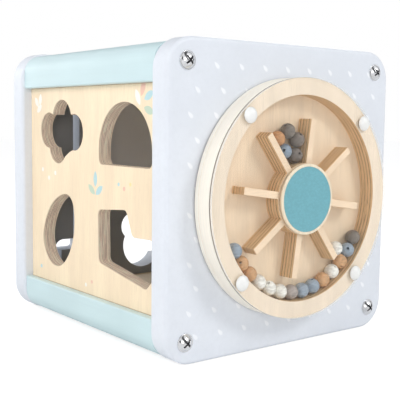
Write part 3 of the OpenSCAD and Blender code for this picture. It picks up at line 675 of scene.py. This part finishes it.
def print_motifs(f, tone):
    """Prints all leaves and dots over the tone of the ply, and adds the two joint lines of painted
    shadow.
    """
    round_leaves = [(x, z, length, length * dot_width, 0, ink) for x, z, length, ink in dots]
    for x, z, length, width, angle, ink in leaves + round_leaves:
        mask = leaf_mask(f, x, z, length, width, angle)
        tone = f.mix(f.sum("MULTIPLY", mask, ink_cover), tone, ink)
    # Painted shadow: a thin brown line where the panel goes into each rail
    height = f.axes()[2]
    above = f.ramp(height, panel_top_z - joint_from, panel_top_z - joint_to)
    below = f.ramp(height, panel_base_z + joint_to, panel_base_z + joint_from, 1.0, 0.0)
    joint_shadow_line = f.sum("MULTIPLY", f.sum("ADD", above, below, clamp=True), joint_shadow_cover)
    return f.mix(joint_shadow_line, tone, joint_shadow_brown)


print("front panel between", round(panel_base_z, 4), "and", round(panel_top_z, 4), "m")

# %% [markdown]
# ## Ply of the panels
# The four panels are 12 mm birch ply with nine sheets. They differ only in which way they
# face, in where their first sheet begins, and in the front one's print.

# %% Panel ply
birch_face = srgb(255, 233, 201)
pale_edge = srgb(255, 226, 203)
panel_thickness = 12 * MM
panel_sheets = 9


def panel_ply(name, across, grain, start, motifs=None):
    return ply(name, across, grain, start, panel_thickness, panel_sheets, birch_face, pale_edge,
               cross=0.92, line=0.3, motifs=motifs)


front_ply = panel_ply("front_panel_ply", 1, 2, panel_low.y, print_motifs)
back_ply = panel_ply("back_panel_ply", 1, 2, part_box("back_panel")[0].y)
top_ply = panel_ply("top_panel_ply", 2, 0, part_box("top_panel")[0].z)
base_ply = panel_ply("base_panel_ply", 2, 0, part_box("base_panel")[0].z)
print("panel ply:", [m.name for m in (front_ply, back_ply, top_ply, base_ply)])

# %% [markdown]
# ## Ply of the drum
# Ring and star are cut from a thicker ply, whose edge is brown with paler glue lines. On the
# drum's outer wall the layers hardly show: a light band of painted light covers what lies far
# enough from the axle, for the strong light on that wall. One thin line of painted shadow runs
# round that wall just behind the ring's front, where the window sits on it.

# %% Drum ply
disc_face = srgb(246, 224, 194)
ring_face = srgb(248, 231, 208)
star_face = srgb(250, 224, 192)
drum_edge = srgb(214, 180, 136)
painted_light_white = srgb(255, 251, 240)
seam_shadow_brown = srgb(70, 60, 52)
disc_thickness = 4 * MM
ring_thickness = 14 * MM


def painted_light_wall(f, layers):
    """Painted light on the drum's outer wall, and a thin dark line of painted shadow near its front."""
    x, y, z = f.axes()
    rise = f.sum("SUBTRACT", z, axle_z)
    away = f.sum("SQRT", f.sum("ADD", f.sum("MULTIPLY", y, y), f.sum("MULTIPLY", rise, rise)))
    # Painted light: the outer wall is lightened towards near-white
    outside = f.ramp(away, drum_r - 3 * MM, drum_r - 2 * MM, 0.0, 0.88)
    pale = f.mix(outside, layers, painted_light_white)
    # Painted shadow: a thin dark line just behind the ring's front, next to the window
    seam = f.ramp(x, ring_high.x - 1.45 * MM, ring_high.x - 1.1 * MM, 0.0, 0.92)
    return f.mix(f.sum("MULTIPLY", seam, outside), pale, seam_shadow_brown)


disc_ply = ply("disc_ply", 0, 2, disc_low.x, disc_thickness, 3, disc_face, pale_edge,
               cross=0.74, line=0.7, light_band=painted_light_wall)
ring_ply = ply("ring_ply", 0, 2, ring_low.x, ring_thickness, 9, ring_face, drum_edge,
               cross=0.6, line=1.3, light_band=painted_light_wall)
star_ply = ply("star_ply", 0, 1, ring_low.x, ring_thickness, 9, star_face, drum_edge,
               cross=0.6, line=1.3)
print("drum ply:", [m.name for m in (disc_ply, ring_ply, star_ply)])

# %% [markdown]
# ## Softened copies of the CAD parts
# Real wood has no sharp edges: a router or sandpaper takes them off. The CAD mesh itself is
# left alone, so a copy is made, its loose triangles are joined, the flat ones are merged, and
# the sharp edges are bevelled.

# %% Copy, join and bevel
sharp_enough_to_bevel = math.radians(38)


def joined_copy(node):
    """The mesh of a CAD node as one skin."""
    bm = bmesh.new()
    bm.from_mesh(nodes[node].data)
    bmesh.ops.remove_doubles(bm, verts=bm.verts, dist=0.004 * MM)
    bmesh.ops.dissolve_limit(bm, angle_limit=math.radians(0.4), verts=bm.verts, edges=bm.edges)
    return bm


def bevel_sharp(bm, width, segments=3):
    """Rounds every sharp edge. width in millimetres."""
    edges = [e for e in bm.edges
             if len(e.link_faces) == 2 and e.calc_face_angle(0.0) > sharp_enough_to_bevel]
    bmesh.ops.bevel(bm, geom=edges, offset=width * MM, offset_type="OFFSET", segments=segments,
                    profile=0.5, affect="EDGES", clamp_overlap=True, material=-1)
    return len(edges)


print("bevels from", round(math.degrees(sharp_enough_to_bevel)), "degrees")

# %% [markdown]
# ## From a mesh to a piece
# A mesh becomes a piece when it has smooth shading, a finish and its place in the cube: the
# body that it rides on and the CAD node that it stands for. Weighted normals keep its flat
# faces flat in the light.

# %% Finish a piece
sharp_enough_to_shade = math.radians(40)


def finish_piece(name, bm, body, material, replaced):
    """Turns a bmesh into a piece that rides on a body."""
    bmesh.ops.recalc_face_normals(bm, faces=bm.faces)
    mesh = bpy.data.meshes.new(name)
    bm.to_mesh(mesh)
    bm.free()
    for polygon in mesh.polygons:
        polygon.use_smooth = True
    mesh.set_sharp_from_angle(angle=sharp_enough_to_shade)
    mesh.materials.append(material)
    piece = bpy.data.objects.new(name, mesh)
    bpy.context.scene.collection.objects.link(piece)
    even = piece.modifiers.new("even_light", "WEIGHTED_NORMAL")
    even.keep_sharp = True
    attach(piece, body)
    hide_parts(*replaced)
    return piece


def softened(node, name, body, material, width, segments=3):
    """A bevelled copy of a CAD node as a piece of its own. width in millimetres."""
    bm = joined_copy(node)
    edges = bevel_sharp(bm, width, segments)
    piece = finish_piece(name, bm, body, material, (node,))
    print(name, "edges softened:", edges, "faces:", len(piece.data.polygons))
    return piece


print("pieces are shaded smooth up to", round(math.degrees(sharp_enough_to_shade)), "degrees")

# %% [markdown]
# ## The box
# The plates and rails come from the CAD model with their rounded edges, and the hidden panels
# need none, so these only get their finish. The front panel is softened, because the rims of
# its four holes are rounded on the real toy and catch the light.

# %% Plates, rails and panels


def dress(node, material):
    """A CAD node keeps its shape and gets a finish."""
    mesh = nodes[node].data
    mesh.materials.clear()
    mesh.materials.append(material)


dress("wheel_plate", drum_plate_paint)
dress("far_plate", far_plate_paint)
for corner in ("rail_top_front", "rail_top_back", "rail_base_front", "rail_base_back"):
    dress(corner, rail_paint)
dress("back_panel", back_ply)
dress("top_panel", top_ply)
dress("base_panel", base_ply)
softened("sorter_panel", "front_panel", "cube", front_ply, width=0.7)

# %% [markdown]
# ## The drum
# The disc, the ring and the star are cut from ply. Their edges are only lightly broken, as
# on the real drum, where the light catches a thin line along every rim.

# %% Disc, ring and star
softened("drum_disc", "disc", "drum", disc_ply, width=0.3, segments=2)
softened("drum_ring", "ring", "drum", ring_ply, width=0.5)
softened("drum_star", "star", "drum", star_ply, width=0.45)

# %% [markdown]
# ## The clear window
# A 2 mm sheet of clear plastic covers the whole drum. Seen straight on it is almost nothing,
# so most of it is see-through, and only at a flat angle and along its cut edge does it turn
# milky. Layer Weight gives that change with the angle. The back of the sheet lies face to face
# with the ring, and two surfaces in one place flicker, so it is drawn a hair thinner there.

# %% Window sheet
hair = 0.03 * MM
clear = Finish("clear_sheet", 0.04)
clear.body.inputs["Specular IOR Level"].default_value = 0.5
clear.body.inputs["IOR"].default_value = 1.49
facing = clear.tree.nodes.new("ShaderNodeLayerWeight")
facing.inputs["Blend"].default_value = 0.35
smudge = clear.noise(clear.place, scale=22.0, detail=3.0)
clear.colour(clear.mix(clear.ramp(smudge, 0.3, 0.7), (0.90, 0.94, 0.95, 1), (0.96, 0.98, 0.98, 1)))
along_x = clear.sum("ABSOLUTE", clear.axes(clear.normal)[0])
milky_edge = clear.ramp(along_x, 0.6, 0.9, 0.45, 0.012)
veil = clear.sum("MULTIPLY_ADD", facing.outputs["Facing"], 0.03, milky_edge)
clear.feed(clear.body.inputs["Alpha"], veil)
clear.rough(clear.ramp(smudge, 0.35, 0.8, 0.03, 0.09))
clear.bump(clear.noise(clear.place, scale=9.0, detail=1.0), 0.02)
bm = joined_copy("drum_window")
back_x = min(v.co.x for v in bm.verts)
for vert in bm.verts:
    if vert.co.x < back_x + 0.1 * MM:
        vert.co.x += hair
bevel_sharp(bm, width=0.35)
finish_piece("window", bm, "drum", clear.material, ("drum_window",))
print("window placed, its back", round(hair / MM, 3), "mm clear of the ring")

# %% [markdown]
# ## Cap and inlay in the middle
# The cap is a pale wooden disc with a rounded rim, and a teal disc lies in it. Matt teal
# paint on wood looks slightly speckled, because the grain drinks it unevenly. The same kind of
# stain does for the beads and blocks further on.

# %% Cap and inlay


def stained(name, colour, speckle, roughness, grain):
    """Matt colour that lets the wood show: fine speckles, a little grain and soft clouds.
    speckle is how far the tones part, and grain how the lines are stretched by axis."""
    f = Finish(name, roughness)
    cloud = f.noise(f.place, scale=90.0)
    specks = f.noise(f.place, scale=1500.0, roughness=0.7)
    lines = f.noise(f.stretch(grain), scale=700.0)
    tone = f.mix(f.ramp(cloud, 0.3, 0.7), shade(colour, 1 - speckle), shade(colour, 1 + speckle))
    tone = f.mix(f.ramp(specks, 0.45, 0.75, 0.0, 0.6), tone, shade(colour, 1 - 3 * speckle))
    tone = f.mix(f.ramp(lines, 0.42, 0.6, 0.0, 0.8), tone, shade(colour, 1 - 4 * speckle))
    tone = f.mix(f.ramp(lines, 0.34, 0.42, 0.6, 0.0), tone, shade(colour, 1 + 2 * speckle))
    f.colour(tone)
    f.rough(f.ramp(specks, 0.2, 0.8, roughness - 0.08, roughness + 0.1))
    f.bump(f.sum("ADD", specks, lines), 0.18)
    return f.material


cap_wood = stained("cap_wood", srgb(248, 232, 206), speckle=0.03, roughness=0.5, grain=(1, 1, 0.06))
inlay_teal = stained("inlay_teal", srgb(116, 178, 190), speckle=0.022, roughness=0.55,
                     grain=(1, 0.7, 1))
softened("hub_cap", "cap", "drum", cap_wood, width=0.25, segments=2)
softened("hub_inlay", "inlay", "drum", inlay_teal, width=0.25, segments=2)

# %% [markdown]
# ## Turned shapes
# Screw caps and beads are round about an axis. The quickest way to make them is to draw
# half of the section as a short chain of points and spin it a full turn. `use_merge` closes
# the seam where the last step meets the first.

# %% Spin a section


def spun(points, steps, axis, middle):
    """points are (distance along the axis, distance from it), in metres. The section is spun
    about X, then turned to the axis and moved to the middle."""
    bm = bmesh.new()
    verts = [bm.verts.new((along, out, 0)) for along, out in points]
    edges = [bm.edges.new(pair) for pair in zip(verts, verts[1:])]
    bmesh.ops.spin(bm, geom=verts + edges, cent=(0, 0, 0), axis=(1, 0, 0), angle=math.tau,
                   steps=steps, use_merge=True, use_duplicate=False)
    bmesh.ops.remove_doubles(bm, verts=bm.verts, dist=0.001 * MM)
    turn = Vector((1, 0, 0)).rotation_difference(axis).to_matrix().to_4x4()
    bmesh.ops.transform(bm, matrix=Matrix.Translation(middle) @ turn, verts=bm.verts)
    return bm


def merged(parts):
    """Several bmeshes in one."""
    whole = bmesh.new()
    for part in parts:
        mesh = bpy.data.meshes.new("part")
        part.to_mesh(mesh)
        part.free()
        whole.from_mesh(mesh)
        bpy.data.meshes.remove(mesh)
    return whole


print("spinning ready")

# %% [markdown]
# ## Where the turned pieces go
# Their places are read from the CAD nodes. One node holds several solids, and a walk along
# the edges tells them apart: what can be reached from a point is one solid.

# %% Find the solids of a node


def solids(node):
    """Lowest and highest corner of each separate solid in a CAD node."""
    bm = joined_copy(node)
    left = set(bm.verts)
    found = []
    while left:
        stack = [left.pop()]
        group = []
        while stack:
            vert = stack.pop()
            group.append(vert.co.copy())
            for edge in vert.link_edges:
                other = edge.other_vert(vert)
                if other in left:
                    left.remove(other)
                    stack.append(other)
        found.append((Vector([min(c[i] for c in group) for i in range(3)]),
                      Vector([max(c[i] for c in group) for i in range(3)])))
    bm.free()
    return sorted(found, key=lambda corners: tuple(round(c, 5) for c in corners[0]))


print("beads in the run, blue:", len(solids("run_beads_blue")))

# %% [markdown]
# ## The shape of a bead
# A turned bead is a ball with a drilled hole, and the hole's mouths are slightly bevelled. Its
# section is a closed line: along the hole's wall, out over one bevel, round the ball to the
# other mouth and back. Two more points on the wall keep its faces from getting too long.

# %% Section of a bead
bead_r = 6.0 * MM
bore_r = 1.0 * MM
mouth_r = 1.25 * MM
mouth_depth = 0.3 * MM
wall_point = 3.5 * MM
arc_steps = 20
first_angle = math.asin(mouth_r / bead_r)
mouth_x = bead_r * math.cos(first_angle)
bead_section = [(-mouth_x + mouth_depth, bore_r), (-mouth_x + wall_point, bore_r),
                (mouth_x - wall_point, bore_r), (mouth_x - mouth_depth, bore_r)]
for k in range(arc_steps + 1):
    angle = first_angle + (math.pi - 2 * first_angle) * k / arc_steps
    bead_section.append((bead_r * math.cos(angle), bead_r * math.sin(angle)))
bead_section.append(bead_section[0])
print("points in a bead's section:", len(bead_section))

# %% [markdown]
# ## Wooden beads
# The beads are stained in five soft colours that let the grain show. Those between the spokes
# get darker copies of the same colours, painted shade for the shadow that they lie in. Every
# bead lies differently, so each gets its own direction from a seeded random source: random
# enough to look thrown in, and the same on every run of this lesson.

# %% Turn the beads
dice = random.Random(7)
run_colours = {
    "grey": srgb(178, 168, 161),
    "charcoal": srgb(128, 119, 109),
    "blue": srgb(160, 175, 189),
    "clay": srgb(216, 169, 122),
    "white": srgb(247, 246, 237),
}
# Darker copies of the run's colours: painted shade for the beads between the spokes
shaded_upper_colours = {
    "grey": srgb(130, 120, 111),
    "charcoal": srgb(128, 119, 109),
    "blue": srgb(145, 161, 176),
    "clay": srgb(205, 151, 101),
}


def bead_stains(prefix, colours):
    return {name: stained(prefix + name, colour, speckle=0.07, roughness=0.5, grain=(1, 0.12, 1))
            for name, colour in colours.items()}


def bead_piece(node, body, stain):
    """All beads of a CAD node as one piece."""
    parts = []
    for low, high in solids(node):
        lean = Vector((dice.uniform(-1, 1), dice.uniform(-1, 1), dice.uniform(-1, 1))).normalized()
        parts.append(spun(bead_section, steps=36, axis=lean, middle=(low + high) / 2))
    piece = finish_piece("beads_" + node, merged(parts), body, stain, (node,))
    print(piece.name, len(parts), "beads,", len(piece.data.polygons), "faces")


run_stains = bead_stains("bead_paint_", run_colours)
shaded_upper_stains = bead_stains("shaded_bead_paint_", shaded_upper_colours)
for colour in run_colours:
    bead_piece("run_beads_" + colour, "bead_run", run_stains[colour])
    if colour in shaded_upper_colours:
        bead_piece("upper_beads_" + colour, "drum", shaded_upper_stains[colour])
bead_piece("lower_bead_white", "drum", run_stains["white"])

# %% [markdown]
# ## White screw caps
# Four pushed-on plastic caps hide the window screws. Each is a shallow dome with a short
# straight rim, hollow below for the screw head. Moulded plastic is very even, so its clouds
# and its grain are only just there.

# %% Plastic of the caps
plastic_deep = srgb(238, 239, 237)
plastic_white = srgb(245, 246, 245)
cap_plastic = Finish("cap_plastic", 0.35)
cap_clouds = cap_plastic.ramp(cap_plastic.noise(cap_plastic.place, scale=160.0, detail=2.0), 0.3, 0.7)
cap_plastic.colour(cap_plastic.mix(cap_clouds, plastic_deep, plastic_white))
cap_grain = cap_plastic.noise(cap_plastic.place, scale=2600.0, detail=2.0)
cap_plastic.rough(cap_plastic.ramp(cap_grain, 0.2, 0.8, 0.28, 0.42))
cap_plastic.bump(cap_grain, 0.06)
print("plastic:", cap_plastic.material.name)

# %% [markdown]
# ## The shape of a cap
# Height and radius come from the CAD model. The dome is a slice of a ball, and the ball's
# radius follows from how wide and how high the slice is. The spun section starts in the middle
# of the hollow, goes out and down to the foot, round it, and over the dome to the top.

# %% Turn the caps
rim_height = 0.6 * MM
hollow_r = 3.2 * MM
hollow_depth = 1.8 * MM
foot_in = 0.15 * MM
foot_up = 0.12 * MM
dome_steps = 12


def cap_section(height, radius):
    """Half of a cap's section, as spun() takes it."""
    dome_height = height - rim_height
    dome_r = (radius ** 2 + dome_height ** 2) / (2 * dome_height)
    widest = math.asin(radius / dome_r)
    section = [(hollow_depth, 0.0), (hollow_depth, hollow_r), (0.0, hollow_r)]
    section += [(0.0, radius - foot_in), (foot_up, radius)]
    for k in range(dome_steps, -1, -1):
        angle = widest * k / dome_steps
        section.append((height - dome_r + dome_r * math.cos(angle), dome_r * math.sin(angle)))
    return section


caps = []
for low, high in solids("screw_caps"):
    section = cap_section(high.x - low.x, (high.z - low.z) / 2)
    foot = Vector((low.x, (low.y + high.y) / 2, (low.z + high.z) / 2))
    caps.append(spun(section, steps=48, axis=Vector((1, 0, 0)), middle=foot))
finish_piece("screw_cap_set", merged(caps), "drum", cap_plastic.material, ("screw_caps",))
print("caps:", len(caps))

# %% [markdown]
# ## Metal parts
# The plate screws and washers are chromed. Chrome shows what is round it, so besides the dark
# cloths of the room it gets a slightly grey tint and fine turning marks. The steel of the
# hidden screws is duller, and so is the turned brass of the inserts and the bush.

# %% Chrome, steel and brass


def metal(name, colour, roughness, brushed=0.05):
    """Metal with a little haze and turning marks about X. brushed is what the marks add."""
    f = Finish(name, roughness, metallic=1.0)
    haze = f.noise(f.place, scale=120.0)
    lines = f.noise(f.stretch((6.0, 1.0, 1.0)), scale=900.0)
    f.colour(f.mix(f.ramp(haze, 0.3, 0.7), shade(colour, 0.86), colour))
    f.rough(f.ramp(lines, 0.3, 0.7, roughness, roughness + brushed))
    f.bump(lines, 0.05)
    return f.material


chrome = metal("chrome", (0.80, 0.81, 0.83, 1), roughness=0.10)
steel = metal("steel", (0.52, 0.53, 0.55, 1), roughness=0.24, brushed=0.1)
brass = metal("brass", (0.72, 0.52, 0.22, 1), roughness=0.28, brushed=0.12)
plate_screw_set = softened("plate_screws", "plate_screw_set", "cube", chrome, width=0.28)
softened("screw_washers", "washer_set", "cube", chrome, width=0.2,
         segments=2)
softened("window_screws", "window_screw_set", "drum", steel, width=0.12,
         segments=2)
for node in ("axle_bolt", "axle_head_washer", "axle_spacer", "axle_nut_washer", "axle_nut",
             "slider_screw"):
    dress(node, steel)
for node in ("rail_inserts", "drum_bush"):
    dress(node, brass)

# %% [markdown]
# ## Dark cross slots
# A cross slot is deep and narrow, and its walls mirror little but each other, so it reads as
# dark. The eight screws are one piece, and the faces of the slots are found by where they are:
# near the middle of a head, and clearly below its domed top. They get a second, dark metal,
# which is painted shade.

# %% Darken the slots
# Painted shade: a dark metal for the faces inside the cross slots
slot_shade = metal("slot_shade_steel", (0.10, 0.10, 0.11, 1), roughness=0.4, brushed=0.1)
plate_screw_set.data.materials.append(slot_shade)
head_dome_r = 7.35 * MM
slot_reach = 4.2 * MM
slot_depth = 2.4 * MM
below_dome = 0.35 * MM
heads = []
for low, high in solids("plate_screws"):
    outward = 1 if high.x > 0 else -1
    top = high.x if outward > 0 else -low.x
    heads.append((outward, top, (low.y + high.y) / 2, (low.z + high.z) / 2))


def nearest_head(place):
    """The head that a face belongs to: on the same plate, and the nearest there."""
    return min(heads, key=lambda head: (place.x * head[0] < 0,
                                        math.hypot(place.y - head[2], place.z - head[3])))


dark_faces = 0
for polygon in plate_screw_set.data.polygons:
    place = polygon.center
    outward, top, middle_y, middle_z = nearest_head(place)
    away = math.hypot(place.y - middle_y, place.z - middle_z)
    below_top = top - place.x * outward
    dome_drop = head_dome_r - math.sqrt(max(0.0, head_dome_r ** 2 - away ** 2))
    if away < slot_reach and dome_drop + below_dome < below_top < slot_depth:
        polygon.material_index = 1
        dark_faces += 1
print("dark faces in the cross slots:", dark_faces)

# %% [markdown]
# ## Blocks and sliding knob
# The blocks that belong to the holes are painted all over and have well rounded edges,
# because small hands hold them. The knob is turned and painted like the rails, and the disc
# that holds it from inside is plain wood.

# %% Blocks and knob
block_rounding = 1.6
block_looks = {
    "cloud": (srgb(190, 222, 228), "block_aqua"),
    "arch": (srgb(214, 174, 140), "block_clay"),
    "oval": (srgb(112, 176, 190), "block_teal"),
    "boot": (srgb(176, 176, 178), "block_grey"),
}
for body, (colour, slot_name) in block_looks.items():
    block_paint = stained(slot_name + "_paint", colour, speckle=0.02, roughness=0.45,
                          grain=(0.06, 1, 1))
    softened("block_" + body, body + "_block", body, block_paint, block_rounding,
             segments=4)
knob_paint = paint("knob_paint", aqua, grain=(0.1, 1, 1), roughness=0.38)
softened("slider_knob", "knob", "slider", knob_paint, width=0.6)
softened("slider_disc", "inner_disc", "slider", cap_wood, width=0.5)

# %% [markdown]
# ## Close the scene
# The view transform is the plain one, so that colours come out as they were chosen.

# %% Set the view transform
bpy.context.scene.view_settings.view_transform = "Standard"
